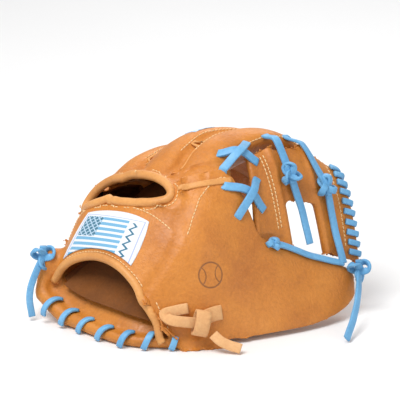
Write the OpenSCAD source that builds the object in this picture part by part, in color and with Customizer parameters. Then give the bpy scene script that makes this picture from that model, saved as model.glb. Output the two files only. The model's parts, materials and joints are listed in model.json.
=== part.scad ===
// Baseball infielder's glove for the left hand: open back, one-piece I-web, laced heel.
// Millimetres, +Z up. The glove lies on its heel and its thumb edge, as on a table.
// The origin is the floor point under the heel roll, at the thumb end of the wrist opening.
// +X runs from the heel towards the web, +Y towards the little finger's side.
//
// Nearly every piece is drawn on two nets of control points, the back of the glove and
// the palm of the glove. A place on a net is (s, t): s runs from the heel (0) over the
// knuckles (2) to the fingertips (4), t runs from the little finger's edge (0) over
// ring (1), middle (2), index (3), web (4) and thumb (5) to the thumb's edge (6).

/* [Glove size] */
// Pattern size, palm length in inches
glove_size = 11.5; // [10:0.25:13]

/* [Leather] */
// Thickness of the shell leather
leather_t = 2.6; // [2:0.1:3.4]
// Thickness of the felt pads in the palm and thumb
pad_t = 5; // [3:0.5:7]
// Thickness of the soft linings
lining_t = 1.2; // [0.8:0.1:2]
// Width of the rolled leather binding round the openings
binding_d = 7; // [5:0.5:9]
// Diameter of the padded roll along the heel
heel_roll_d = 10; // [8:0.5:13]

/* [Lacing] */
// Width of a rawhide lace
lace_w = 7; // [4.5:0.5:9]
// Thickness of a rawhide lace
lace_t = 2.6; // [1.8:0.1:3.4]
// Turns of lace round the outer edge of the web
web_loops = 10; // [8:1:12]

/* [Seams] */
// Width of the sewing thread where it shows
thread_w = 0.8; // [0.6:0.1:1.2]
// Width of the welts between the fingers
welt_w = 4; // [3:0.5:5]

/* [Hidden] */
k = glove_size / 11.5;
clear = 0.5;
// Where the nets below have the point of the heel roll that becomes the origin
rest_point = k * [-6.5, 9, 0];

// Back of the glove: rows are s = 0 to 4, columns t = 0 to 6
back_net = k * [
    [[-101, 94, 26], [-91, 82, 48], [-70, 62, 64], [-50, 42, 67],
     [-31, 22, 57], [-13, 8, 30], [0, 2, 5]],
    [[-86, 130, 58], [-70, 110, 94], [-46, 84, 108], [-12, 56, 110],
     [19, 30, 90], [36, 18, 42], [50, 15, 4]],
    [[-52, 205, 82], [-27, 186, 116], [3, 158, 142], [34, 123, 161],
     [60, 92, 147], [85, 62, 76], [95, 34, 4]],
    [[-10, 222, 76], [20, 206, 107], [50, 184, 134], [79, 154, 156],
     [101, 126, 157], [132, 90, 54], [136, 58, 5]],
    [[28, 240, 46], [66, 228, 66], [98, 206, 88], [128, 180, 108],
     [146, 156, 121], [171, 110, 38], [172, 94, 14]]
];
// Palm of the glove, the side that meets the ball
palm_net = k * [
    [[-113, 105, 33], [-101, 86, 17], [-79, 62, 7], [-55, 34, 5],
     [-31, 14, 5], [2, 9, 5], [37, 16, 5]],
    [[-58, 128, 42], [-38, 114, 62], [-21, 101, 72], [3, 85, 77],
     [17, 69, 65], [24, 60, 32], [48, 40, 5]],
    [[-39, 189, 58], [-13, 168, 86], [14, 147, 107], [36, 128, 124],
     [51, 112, 119], [68, 88, 61], [88, 56, 6]],
    [[-7, 204, 58], [22, 184, 86], [50, 165, 109], [73, 145, 129],
     [90, 133, 131], [117, 110, 44], [128, 76, 7]],
    [[28, 226, 33], [64, 209, 50], [94, 188, 72], [121, 164, 92],
     [136, 148, 99], [159, 126, 30], [165, 106, 10]]
];

tan_leather = [0.80, 0.49, 0.20];
edge_leather = [0.86, 0.63, 0.38];
blue_lace = [0.45, 0.69, 0.87];
felt = [0.75, 0.68, 0.55];
lining_brown = [0.52, 0.30, 0.13];

// ---------- curves and nets ----------
function mix(a, b, x) = a * (1 - x) + b * x;
function unit(v) = v / norm(v);
function span(a, b, n) = [for (i = [0:n]) mix(a, b, i / n)];
function beyond(p, i) = i < 0 ? 2 * p[0] - p[1]
    : i >= len(p) ? 2 * p[len(p) - 1] - p[len(p) - 2] : p[i];
function slope(a, b, c) = let (p = norm(b - a), q = norm(c - b))
    ((c - b) / q * p + (b - a) / p * q) / (p + q);
// A smooth curve through the points p, at x counted in points
function through(p, x) = let (
        i = min(max(floor(x), 0), len(p) - 2), u = x - i,
        a = beyond(p, i - 1), b = p[i], c = p[i + 1], d = beyond(p, i + 2), gap = norm(c - b))
    (2 * u * u * u - 3 * u * u + 1) * b + (u * u * u - 2 * u * u + u) * gap * slope(a, b, c)
    + (3 * u * u - 2 * u * u * u) * c + (u * u * u - u * u) * gap * slope(b, c, d);
function smooth(p, n) = [for (i = [0:n]) through(p, i * (len(p) - 1) / n)];
function on_net(net, s, t) = let (
        i = min(max(floor(s), 0), 3), first = max(i - 1, 0), last = min(i + 2, 4))
    through([for (j = [first:last]) through(net[j], t)], s - first);
// Unit vector out of the back of the glove
function outward(net, s, t) = let (e = 0.06)
    unit(cross(on_net(net, s, t + e) - on_net(net, s, t - e),
               on_net(net, s + e, t) - on_net(net, s - e, t)));
function on_back(p) = on_net(back_net, p[0], p[1]) + p[2] * outward(back_net, p[0], p[1]);
// h = 0 on the palm, 1 on the back
function inside(s, t, h) = mix(on_net(palm_net, s, t), on_net(back_net, s, t), h);

// ---------- closed solids from points ----------
// A tube from a list of rings, closed at both ends
module skin(rings) {
    n = len(rings[0]);
    m = len(rings);
    polyhedron(points = [for (r = rings) each r],
        faces = concat([[for (i = [0:n - 1]) i]], [[for (i = [n - 1:-1:0]) (m - 1) * n + i]],
            [for (j = [0:m - 2], i = [0:n - 1]) let (a = j * n + i, b = j * n + (i + 1) % n)
                each [[a, a + n, b + n], [a, b + n, b]]]));
}
// A ring-shaped tube: the last ring joins the first
module hoop(rings) {
    n = len(rings[0]);
    m = len(rings);
    polyhedron(points = [for (r = rings) each r],
        faces = [for (j = [0:m - 1], i = [0:n - 1])
            let (i2 = (i + 1) % n, a = j * n, b = ((j + 1) % m) * n)
                each [[a + i, b + i, b + i2], [a + i, b + i2, a + i2]]]);
}
// A sheet between two grids of points of the same shape
module sheet(outer, inner) {
    m = len(outer);
    n = len(outer[0]);
    all = m * n;
    polyhedron(points = concat([for (r = inner) each r], [for (r = outer) each r]),
        faces = concat(
            [for (i = [0:m - 2], j = [0:n - 2]) let (a = i * n + j)
                each [[a, a + n, a + n + 1], [a, a + n + 1, a + 1],
                      [all + a, all + a + n + 1, all + a + n], [all + a, all + a + 1, all + a + n + 1]]],
            [for (i = [0:m - 2], j = [0, n - 1]) let (a = i * n + j, b = a + n)
                each (j == 0 ? [[a, all + a, all + b], [a, all + b, b]]
                             : [[a, all + b, all + a], [a, b, all + b]])],
            [for (j = [0:n - 2], i = [0, m - 1]) let (a = i * n + j, b = a + 1)
                each (i == 0 ? [[a, all + b, all + a], [a, b, all + b]]
                             : [[a, all + a, all + b], [a, all + b, b]])]));
}
// A cross-section of n corners, w across and h high, round point p of a path
function section(p, dir, up, w, h, n) = let (
        side = unit(cross(dir, up)), top = cross(side, dir), r = 0.5 / cos(180 / n))
    [for (i = [0:n - 1]) let (a = -360 * (i + 0.5) / n) p + w * r * cos(a) * side + h * r * sin(a) * top];
function heading(path, i) = unit(path[min(i + 1, len(path) - 1)] - path[max(i - 1, 0)]);
function rings_along(path, ups, w, h, n) =
    [for (i = [0:len(path) - 1]) section(path[i], heading(path, i), ups[i], w, h, n)];
module sweep(path, ups, w, h, n) skin(rings_along(path, ups, w, h, n));
function between(list, x) = let (i = min(floor(x), len(list) - 2))
    unit(mix(list[i], list[i + 1], x - i));
// A flat lace laid on the back: stops are [s, t, height over the leather]
module back_lace(stops, n, w = lace_w, h = lace_t) {
    ups = [for (p = stops) outward(back_net, p[0], p[1])];
    sweep(smooth([for (p = stops) on_back(p)], n),
          [for (i = [0:n]) between(ups, i * (len(stops) - 1) / n)], w, h, 4);
}
// A free-hanging strip through points in space, flat side towards up
module strip(points, up, n, w = lace_w, h = lace_t) {
    q = smooth(points, n);
    sweep(q, [for (p = q) up], w, h, 4);
}
// A run of sewing thread on the leather
module thread(path, ups) sweep(path, ups, thread_w, thread_w, 3);

// ---------- leather surfaces ----------
function grid_back(ss, edge0, edge1, n, depth) = [for (s = ss)
    [for (x = span(0, 1, n)) on_back([s, mix(lookup(s, edge0), lookup(s, edge1), x), -depth])]];

// The palm leather: u >= 0 is t on the palm, -1 to 0 climbs the little finger's side, below -1 is the back
function palm_skin(s, u) = u >= 0 ? inside(s, u, 0)
    : u >= -1 ? inside(s, 0, -u) : inside(s, -1 - u, 1);
function palm_at(s, u, d) = let (e = 0.06)
    palm_skin(s, u) + d * unit(cross(palm_skin(s, u + e) - palm_skin(s, u - e),
                                     palm_skin(s + e, u) - palm_skin(s - e, u)));
palm_edge = 4.84;
// How far the palm leather climbs the little finger's side, up to the strap or the stall
side_top = [[0, 0.45], [0.15, 0.5], [0.35, 0.7], [0.8, 0.82], [1.3, 0.82],
            [1.4, 0.7], [1.6, 0.56], [1.8, 0.44], [1.96, 0.34]];
function palm_columns(s) = concat([palm_edge, 4.5, 4, 3.5, 3, 2.5, 2, 1.5, 1, 0.6, 0.3, 0.1],
    [for (x = [0.15, 0.4, 0.7, 1]) -x * lookup(s, side_top)]);

// The thumb leather: u up to 6 is t on the back, 6 to 7 goes round the thumb's edge, 7 to 8 is the palm;
// past the crotch the leather below u = 5 and above u = 8 folds in as the side that faces the web
fold = [[0, 0], [1.98, 0], [2.25, 1], [4, 1]];
thumb_start = [[0, 4.62], [1.0, 3.86], [1.2, 3.7], [1.4, 3.66], [1.55, 3.76], [1.75, 3.96], [1.88, 4.16],
               [1.94, 4.6], [2.0, 4.9], [2.12, 4.84], [2.3, 4.58], [4, 4.58]];
thumb_end = [[0, 7.9], [1.9, 7.9], [2.3, 8.5], [4, 8.5]];
function thumb_flat(s, u) =
    u < 5 ? mix(inside(s, u, 1), inside(s, 5, u - 4), lookup(s, fold))
    : u <= 6 ? inside(s, u, 1) : u <= 7 ? inside(s, 6, 7 - u) : u <= 8 ? inside(s, 13 - u, 0)
    : inside(s, 5, u - 8);
// Rounds a tip: 1 up to from, then falling along a quarter circle towards to
function blunt(s, from, to) = s <= from ? 1
    : max(0.25, sqrt(max(0, 1 - pow((s - from) / (to - from), 2))));
function thumb_skin(s, u) = mix(inside(s, 5.5, 0.5), thumb_flat(s, u), blunt(s, 3.6, 4.02));
function thumb_at(s, u, d) = let (e = 0.05)
    thumb_skin(s, u) - d * unit(cross(thumb_skin(s, u + e) - thumb_skin(s, u - e),
                                      thumb_skin(s + e, u) - thumb_skin(s - e, u)));
thumb_rows = [0.12, 0.2, 0.4, 0.6, 0.8, 1.0, 1.2, 1.4, 1.55, 1.75, 1.88, 1.94, 2.0, 2.12,
              2.3, 2.55, 2.8, 3.05, 3.3, 3.5, 3.65, 3.8, 3.9, 3.97];
function thumb_columns(s) = concat(
    [for (x = [0, 0.08, 0.26, 0.46, 0.68, 1]) mix(lookup(s, thumb_start), 5, x)],
    [5.25, 5.5, 5.75, 6, 6.5, 7, 7.25, 7.5, 7.75],
    [for (x = [1:3]) mix(7.75, lookup(s, thumb_end), x / 3)]);
// Near the heel roll the thumb leather stops short of it
short = [[5.1, 0], [5.8, 0.55], [7.4, 0.55], [7.9, 0.12]];
function thumb_grid(d) = [for (s = thumb_rows) [for (u = thumb_columns(s))
    thumb_at(s + max(0, 0.5 - s) * lookup(u, short), u, d)]];

// ---------- finger stalls ----------
// Stall i fills the cell t = i to i + 1; its mouth reaches back over the knuckles. Stall 5 is the thumb's.
tip_s = [3.86, 3.96, 4, 3.92, 0, 3.8];
function mouth(i, t, h) = i == 5 ? 1.5
    : mix(2.02, i < 3 ? 1.4 : 1.43 + 0.5 * (t - 3), min(1, max(0, h - 0.38) * 2.5));
function stall_ring(i, x, inset) = let (
        w = 0.467 - inset / (i == 5 ? 58 * k : 44 * k),
        g = 0.5 - inset / (i == 5 ? 26 * k : 32 * k),
        end = tip_s[i] - inset / (60 * k), r = blunt(x, 0.72, 1.02))
    [for (a = [0:15:345]) let (
            ct = sign(cos(a)) * pow(abs(cos(a)), 0.75),
            st = sign(sin(a)) * pow(abs(sin(a)), 0.75))
        inside(mix(mouth(i, i + 0.5 + w * ct, 0.5 + g * st), end, x),
               i + 0.5 + w * r * ct, 0.5 + g * r * st)];
stall_steps = [0, 0.12, 0.24, 0.36, 0.48, 0.6, 0.72, 0.82, 0.9, 0.96, 1];
// A stall's skin, from inset a outside to inset b inside
module stall(i, a, b) skin(concat(
    [for (j = [len(stall_steps) - 1:-1:0]) stall_ring(i, stall_steps[j], a)],
    [for (x = stall_steps) stall_ring(i, x, b)]));

// ---------- hand: palm, fingers and strap ----------
module palm_shell() color(tan_leather) {
    rows = [0.13, 0.35, 0.6, 0.85, 1.1, 1.35, 1.6, 1.8, 1.96];
    sheet([for (s = rows) [for (u = palm_columns(s)) palm_at(s, u, leather_t)]],
          [for (s = rows) [for (u = palm_columns(s)) palm_at(s, u, 0)]]);
}
module palm_pad() color(felt) {
    rows = [0.26, 0.4, 0.6, 0.85, 1.1, 1.35, 1.6, 1.8, 1.9];
    columns = [4.7, 4.5, 4, 3.5, 3, 2.5, 2, 1.5, 1, 0.8];
    d = leather_t + 1.6 * clear;
    sheet([for (s = rows) [for (u = columns) palm_at(s, u, d + pad_t)]],
          [for (s = rows) [for (u = columns) palm_at(s, u, d)]]);
}
module palm_lining() color(lining_brown) {
    rows = [0.2, 0.35, 0.6, 0.85, 1.1, 1.35, 1.6, 1.8, 1.93];
    columns = [4.75, 4.5, 4, 3.5, 3, 2.5, 2, 1.5, 1.1];
    d = leather_t + pad_t + 3 * clear;
    sheet([for (s = rows) [for (u = columns) palm_at(s, u, d + lining_t)]],
          [for (s = rows) [for (u = columns) palm_at(s, u, d)]]);
}
// The padded roll the heel laces go round, thicker at the little finger's side
function roll_d(t) = heel_roll_d * lookup(t, [[0, 1.8], [1, 1.7], [2.6, 1], [6, 1]]);
function roll_at(t) = let (toward = unit(on_net(palm_net, 0.1, t) - on_net(palm_net, 0, t)))
    on_net(palm_net, 0, t) - (roll_d(t) - heel_roll_d) / 2 * toward;
module roll(t0, t1, n) {
    ts = span(t0, t1, n);
    path = [for (t = ts) roll_at(t)];
    room = 400 * k; // larger than the glove
    // only what is above the floor
    intersection() {
        skin([for (i = [0:n])
            section(path[i], heading(path, i), [0, 0, 1], roll_d(ts[i]), roll_d(ts[i]), 8)]);
        translate([-room / 2, -room / 2, 0]) cube(room);
    }
}
module heel_roll() color(tan_leather) roll(0.05, 4.86, 24);
// The linings of the stalls hang this far inside the leather's outer face
lining_gap = leather_t + 6 * clear;
module little_stall() color(tan_leather) stall(0, 0, leather_t);
module ring_stall() color(tan_leather) stall(1, 0, leather_t);
module middle_stall() color(tan_leather) stall(2, 0, leather_t);
module index_stall() color(tan_leather) stall(3, 0, leather_t);
module finger_linings() color(lining_brown)
    for (i = [0:3]) stall(i, lining_gap, lining_gap + lining_t);
// Strips sewn into the grooves between the fingers
module finger_welts() color(edge_leather)
    for (i = [1:3]) back_lace([for (s = span(1.52, 3.7, 12)) [s, i, -3.5]], 12, welt_w * 0.6, welt_w);
// The strap across the wrist, between the little finger's side and the thumb
strap_start = [[0, 0.34], [0.3, 0.06], [1, 0.02]];
strap_end = [[0, 4.44], [1, 3.66]];
strap_rows = [0.07, 0.115, 0.22, 0.32, 0.45, 0.6, 0.75, 0.9, 0.98];
module back_sheet(rows, from, to, n, top, bottom)
    sheet(grid_back(rows, from, to, n, bottom), grid_back(rows, from, to, n, top));
module wrist_strap() color(tan_leather) back_sheet(strap_rows, strap_start, strap_end, 20, 0, leather_t);
module strap_lining() color([0.65, 0.12, 0.16])
    back_sheet([0.12, 0.22, 0.32, 0.45, 0.6, 0.75, 0.94],
        [[0, 0.5], [1, 0.5]], [[0, 4.3], [1, 3.5]], 18,
        leather_t + clear, leather_t + clear + 2 * lining_t);
module strap_patch() color([0.9, 0.93, 0.96])
    back_sheet([0.17, 0.33, 0.5, 0.67, 0.83],
        [[0, 0.8], [1, 1.45]], [[0, 3.8], [1, 3.02]], 14, -clear - lining_t, -clear);
// Binding along the edge of the wrist opening from t0 to t1
module edge_binding(t0, t1, n) {
    path = [for (t = span(t0, t1, n)) on_back([-0.01, t, -leather_t / 2])];
    ups = [for (t = span(t0, t1, n)) outward(back_net, 0.05, t)];
    sweep(path, ups, binding_d, binding_d, 6);
}
module wrist_binding() color(edge_leather) edge_binding(0.3, 4.46, 26);
// The binding round the opening over the back of the hand
module back_binding() color(edge_leather) {
    loop = [for (a = [0:12:348]) [1.185 + 0.145 * sign(sin(a)) * pow(abs(sin(a)), 0.6),
                                  1.88 + 1.56 * sign(cos(a)) * pow(abs(cos(a)), 0.8)]];
    path = [for (p = loop) on_back([p[0], p[1], -leather_t / 2])];
    m = len(path);
    hoop([for (i = [0:m - 1]) section(path[i], unit(path[(i + 1) % m] - path[(i + m - 1) % m]),
        outward(back_net, loop[i][0], loop[i][1]), binding_d, binding_d, 6)]);
}
module size_tag() color([0.9, 0.93, 0.96])
    back_sheet([2.02, 2.15, 2.3, 2.42],
        [[0, 2.42], [4, 2.42]], [[0, 2.72], [4, 2.72]], 4, -1 - lining_t / 2, -1);
// A row of thread across the back at s, between two values of t, clear of the leather by lift
module thread_across(s, t0, t1, n, lift)
    thread([for (t = span(t0, t1, n)) on_back([s, t, lift])],
           [for (t = span(t0, t1, n)) outward(back_net, s, t)]);
module strap_stitching() color(edge_leather) {
    thread_across(0.115, 0.1, 4.36, 36, 2 * clear);
    thread_across(0.94, 0.1, 3.6, 36, 2 * clear);
}
module finger_stitching() color(edge_leather)
    for (i = [0:3], side = [3, 9]) {
        steps = [0.12, 0.24, 0.36, 0.48, 0.6, 0.72, 0.82, 0.9];
        ups = [for (x = steps) let (r = stall_ring(i, x, 0)) unit(r[side] - (r[0] + r[12]) / 2)];
        thread([for (j = [0:len(steps) - 1]) stall_ring(i, steps[j], 0)[side] + 2.4 * clear * ups[j]], ups);
    }
// One turn of lace over the heel roll at t
module heel_loop(t, last) {
    c = roll_at(t);
    d = unit(roll_at(t + 0.1) - roll_at(t - 0.1));
    front = unit(cross([0, 0, 1], -d));
    r = roll_d(t) / 2 / cos(22.5) + 3.6 * clear + lace_t / 2;
    turn = [for (a = [67:15:last]) front * sin(a) - [0, 0, 1] * cos(a)];
    sweep([for (i = [0:len(turn) - 1]) c + r * turn[i] + (i - 4) * 0.9 * d], turn, lace_w, lace_t, 4);
}
module heel_lacing() color(blue_lace) for (t = [1.3, 1.9, 2.5, 3.2, 3.95, 4.54]) heel_loop(t, 202);
// A knot: a closed turn of lace round a short bar of lace
module knot(c, axis, r, w = lace_w) {
    a1 = unit(cross(axis, [0.3, 0.2, 1]));
    a2 = unit(cross(a1, axis));
    dirs = [for (a = [0:30:330]) a1 * cos(a) + a2 * sin(a)];
    hoop([for (i = [0:11]) let (dir = unit(dirs[(i + 1) % 12] - dirs[(i + 11) % 12]))
        section(c + r * dirs[i], dir, axis, lace_t + 1, w, 4)]);
}
module heel_knot() color(blue_lace) knot(k * [-107, 96, 54], unit([0.2, -1, 0.2]), 7);
module heel_tail() color(blue_lace)
    strip(k * [[-112, 89, 44], [-116, 84, 37], [-119, 80, 23], [-117, 79, 4]], unit([0.3, -1, 0]), 10);
module finger_lacing() color(blue_lace) {
    lift = 0.8 + lace_t / 2;
    for (i = [0:2]) back_lace([[3.42, i + 0.6, lift], [3.4, i + 1, lift], [3.42, i + 1.4, lift]], 8);
}

// ---------- thumb ----------
module thumb_shell() color(tan_leather) sheet(thumb_grid(leather_t), thumb_grid(0));
module thumb_pad() color(felt) {
    rows = [0.25, 0.4, 0.6, 0.8, 1.0, 1.2, 1.4];
    columns = [7.1, 7.25, 7.5, 7.75];
    d = leather_t + clear;
    sheet([for (s = rows) [for (u = columns) thumb_at(s, u, d + pad_t)]],
          [for (s = rows) [for (u = columns) thumb_at(s, u, d)]]);
}
module thumb_lining() color(lining_brown) stall(5, lining_gap, lining_gap + lining_t);
module thumb_heel_roll() color(tan_leather) roll(5.05, 5.3, 3);
module thumb_binding() color(edge_leather) edge_binding(4.72, 5.5, 8);
module thumb_heel_lacing() color(blue_lace) heel_loop(5.18, 150);
module thumb_stitching() color(edge_leather) {
    thread_across(0.2, 4.75, 5.7, 14, 2 * clear);
    column = [for (s = span(1.05, 1.86, 12)) [s, mix(lookup(s, thumb_start), 5, 0.08)]];
    thread([for (p = column) on_back([p[0], p[1], 2 * clear])],
           [for (p = column) outward(back_net, p[0], p[1])]);
}
// The leather loop that tightens the thumb: a folded band, the wrap that holds it and its tail
band_t = lace_t * 0.8;
module thumb_loop() color(edge_leather)
    back_lace([[0.64, 5.06, 2.2], [0.42, 5.04, 2.6], [0.22, 5.08, 5],
               [0.26, 5.2, 8.2], [0.5, 5.34, 8], [0.84, 5.5, 6]], 16, lace_w, band_t);
module loop_wrap() color(edge_leather) {
    c = on_back([0.74, 5.44, 8.4]);
    up = outward(back_net, 0.74, 5.44);
    along = unit(on_back([0.84, 5.5, 0]) - on_back([0.64, 5.38, 0]));
    across = unit(cross(up, along));
    wrap_w = 13;
    turn = [for (a = [0:30:330]) across * cos(a) * 11 + up * sin(a) * 6.2];
    hoop([for (i = [0:11]) let (dir = unit(turn[(i + 1) % 12] - turn[(i + 11) % 12]))
        section(c + turn[i], dir, along, band_t, wrap_w, 4)]);
}
module thumb_loop_tail() color(edge_leather)
    strip(k * [[42, -0.2, 15.6], [47, -2.8, 11.6], [55, -4.2, 7.6], [66, -6, 4.5]],
          unit([0.2, -1, 0.5]), 8, lace_w, band_t);
// The lace that lies along the top of the thumb, and the knot and free end at its tip
module thumb_edge_lace() color(blue_lace) {
    ss = span(2.2, 3.62, 12);
    sweep([for (s = ss) thumb_at(s, 5, -lace_t / 2 - 0.8)],
          [for (s = ss) thumb_at(s, 5, -1) - thumb_at(s, 5, 0)], lace_w, lace_t, 4);
}
module thumb_tip_knot() color(blue_lace) knot(thumb_at(3.84, 5.06, -9), unit([0.3, -1, 0.1]), 5);
module thumb_tip_tail() color(blue_lace)
    strip(k * [[172, 92, 38], [171, 82, 30], [167, 60, 18], [161, 34, 8], [158, 22, 4]],
          unit([1, 0.1, 0.8]), 10);
// Lower pair of crossed laces at the crotch, thumb to web
module lower_crotch_laces() color(blue_lace) {
    back_lace([[1.72, 4.14, 2], [1.97, 4.42, 3], [2.2, 4.66, 1]], 8);
    back_lace([[1.74, 4.56, 2], [1.99, 4.45, 7], [2.24, 4.36, 1.5]], 8);
}

// ---------- web ----------
web_depth = 3; // the web lies this far under the net
// A sheet on the web: rows follow t, the two edges are s as it changes with t
function grid_web(ts, from, to, n, depth) = [for (t = ts)
    [for (x = span(0, 1, n)) on_back([mix(lookup(t, from), lookup(t, to), x), t, -depth])]];
module web_sheet(ts, from, to, n, top, bottom)
    sheet(grid_web(ts, from, to, n, top), grid_web(ts, from, to, n, bottom));
bar_inner = [[4, 2.3], [4.1, 2.26], [4.9, 2.02], [5, 2.02]];
bar_outer = [[4, 2.64], [4.5, 2.56], [5, 2.6]];
top_inner = [[4, 3.3], [4.5, 3.28], [5, 3.4]];
top_outer = [[4, 4.04], [5, 4.04]];
module web_base_bar() color(tan_leather)
    web_sheet(span(4.1, 4.88, 10), bar_inner, bar_outer, 5, web_depth, web_depth + 5);
module web_post() color(tan_leather)
    web_sheet(span(4.16, 4.6, 5),
        [[4, 2.68], [5, 2.66]], [[4, 3.24], [5, 3.24]], 6, web_depth, web_depth + 4.5);
module web_top_bar() color(tan_leather)
    web_sheet(span(4.08, 4.88, 10), top_inner, top_outer, 6, web_depth, web_depth + 5);
// Turns of lace round the web's outer edge
module web_edge_lacing() color(blue_lace) {
    // one turn seen from the side: distance past the edge, height over the middle of the leather
    side = [[-9, 4.3], [-4, 4.7], [0.6, 4.5], [3, 3.2], [3.9, 0], [3, -3.2], [0, -4.4]];
    for (i = [0:web_loops - 1]) {
        t = mix(4.12, 4.86, pow(i / (web_loops - 1), 0.9));
        edge = on_back([4.04, t, -web_depth - 2.5]);
        up = outward(back_net, 4, t);
        out = unit(on_back([4.04, t, 0]) - on_back([3.9, t, 0]));
        d = cross(up, out);
        sweep([for (j = [0:6]) edge + side[j][0] * out + side[j][1] * up + (j - 4) * 0.25 * d],
              [for (q = side) unit((q[0] + 4) * out + q[1] * up * 1.4)],
              lace_w * 0.62, lace_t * 0.9, 4);
    }
}
module web_stitching() color(edge_leather) {
    for (s = [2.42, 2.48]) thread_across(s, 4.16, 4.84, 20, 2 * clear - web_depth);
    thread_across(3.8, 4.16, 4.84, 20, 2 * clear - web_depth);
}
// Upper pair of crossed laces at the crotch, index finger to web
module upper_crotch_laces() color(blue_lace) {
    back_lace([[1.9, 3.72, 3], [2.12, 3.98, 3], [2.34, 4.2, 0]], 8);
    back_lace([[1.82, 3.98, 3], [2.1, 4.02, 7], [2.4, 3.94, 3]], 8);
}
module inner_tie() color(blue_lace) back_lace([[2.78, 3.92, 3], [2.78, 4.08, 3], [2.76, 4.26, 1]], 6);
module inner_tie_knot() color(blue_lace)
    knot(on_back([2.76, 4.4, 3.4]), outward(back_net, 2.76, 4.4), 5.6);
module inner_tie_tail() color(blue_lace) back_lace([[2.8, 4.5, 1.5], [2.85, 4.66, 2], [2.9, 4.9, 3]], 8);
module outer_tie() color(blue_lace) back_lace([[3.2, 3.92, 3], [3.26, 4.12, 2], [3.38, 4.34, 0.5]], 6);
module outer_tie_knot() color(blue_lace)
    knot(on_back([3.46, 4.45, 3.4]), outward(back_net, 3.46, 4.45), 5.6);
module outer_tie_end() color(blue_lace) back_lace([[3.51, 4.56, 1.5], [3.55, 4.74, 0], [3.58, 4.9, 2]], 8);

module set_down() translate(-rest_point) children();

set_down() palm_shell();
set_down() palm_pad();
set_down() palm_lining();
set_down() heel_roll();
set_down() little_stall();
set_down() ring_stall();
set_down() middle_stall();
set_down() index_stall();
set_down() finger_linings();
set_down() finger_welts();
set_down() wrist_strap();
set_down() strap_lining();
set_down() strap_patch();
set_down() wrist_binding();
set_down() back_binding();
set_down() size_tag();
set_down() strap_stitching();
set_down() finger_stitching();
set_down() heel_lacing();
set_down() heel_knot();
set_down() heel_tail();
set_down() finger_lacing();
set_down() thumb_shell();
set_down() thumb_pad();
set_down() thumb_lining();
set_down() thumb_binding();
set_down() thumb_heel_roll();
set_down() thumb_heel_lacing();
set_down() thumb_stitching();
set_down() thumb_loop();
set_down() loop_wrap();
set_down() thumb_loop_tail();
set_down() thumb_edge_lace();
set_down() thumb_tip_knot();
set_down() thumb_tip_tail();
set_down() lower_crotch_laces();
set_down() upper_crotch_laces();
set_down() web_base_bar();
set_down() web_post();
set_down() web_top_bar();
set_down() web_edge_lacing();
set_down() web_stitching();
set_down() inner_tie();
set_down() inner_tie_knot();
set_down() inner_tie_tail();
set_down() outer_tie();
set_down() outer_tie_knot();
set_down() outer_tie_end();
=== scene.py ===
"""Looks for the baseball glove: leather skins, laces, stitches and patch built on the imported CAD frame."""
import json
import math
import random

import bmesh
import bpy
import numpy as np
from mathutils import Matrix, Vector, noise
from mathutils.bvhtree import BVHTree

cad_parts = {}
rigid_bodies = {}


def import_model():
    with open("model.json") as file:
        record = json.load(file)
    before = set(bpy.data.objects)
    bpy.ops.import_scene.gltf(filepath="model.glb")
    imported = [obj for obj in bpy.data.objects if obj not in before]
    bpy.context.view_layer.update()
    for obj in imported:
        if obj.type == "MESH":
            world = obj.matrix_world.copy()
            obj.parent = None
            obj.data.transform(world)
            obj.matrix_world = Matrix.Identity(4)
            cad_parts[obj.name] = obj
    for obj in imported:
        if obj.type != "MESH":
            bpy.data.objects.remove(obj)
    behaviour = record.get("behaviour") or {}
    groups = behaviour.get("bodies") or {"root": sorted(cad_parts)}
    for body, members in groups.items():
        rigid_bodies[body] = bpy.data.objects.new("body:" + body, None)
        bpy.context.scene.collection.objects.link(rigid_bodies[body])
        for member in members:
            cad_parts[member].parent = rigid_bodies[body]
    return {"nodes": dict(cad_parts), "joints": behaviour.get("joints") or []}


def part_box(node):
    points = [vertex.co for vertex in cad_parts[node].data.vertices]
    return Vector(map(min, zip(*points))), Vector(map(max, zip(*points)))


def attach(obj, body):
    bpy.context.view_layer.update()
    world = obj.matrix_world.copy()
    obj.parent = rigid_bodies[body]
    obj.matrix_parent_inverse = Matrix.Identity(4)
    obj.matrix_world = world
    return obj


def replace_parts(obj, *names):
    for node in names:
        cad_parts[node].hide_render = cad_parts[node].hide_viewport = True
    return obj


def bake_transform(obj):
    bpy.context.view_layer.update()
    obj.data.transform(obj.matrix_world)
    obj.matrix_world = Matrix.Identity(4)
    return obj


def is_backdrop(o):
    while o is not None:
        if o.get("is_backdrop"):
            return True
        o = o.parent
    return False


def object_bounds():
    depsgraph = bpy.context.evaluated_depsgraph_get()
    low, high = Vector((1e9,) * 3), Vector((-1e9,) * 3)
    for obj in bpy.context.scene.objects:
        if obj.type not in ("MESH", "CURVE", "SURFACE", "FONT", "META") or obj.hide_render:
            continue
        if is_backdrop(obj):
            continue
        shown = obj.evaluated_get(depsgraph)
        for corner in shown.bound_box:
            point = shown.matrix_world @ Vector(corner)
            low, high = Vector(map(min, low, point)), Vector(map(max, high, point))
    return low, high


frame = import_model()
cad_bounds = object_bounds()
random.seed(7)
MM = 0.001


# ---------- reading the frame ----------
def solid(node):
    """Welded vertices and triangles of a CAD node, in metres."""
    me = frame["nodes"][node].data
    me.calc_loop_triangles()
    co = np.array([v.co for v in me.vertices], float)
    key = np.round(co / 2e-6).astype(np.int64)
    uniq, first, inv = np.unique(key, axis=0, return_index=True, return_inverse=True)
    tris = [[int(inv[i]) for i in t.vertices] for t in me.loop_triangles]
    return co[first], [t for t in tris if len(set(t)) == 3]


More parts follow.
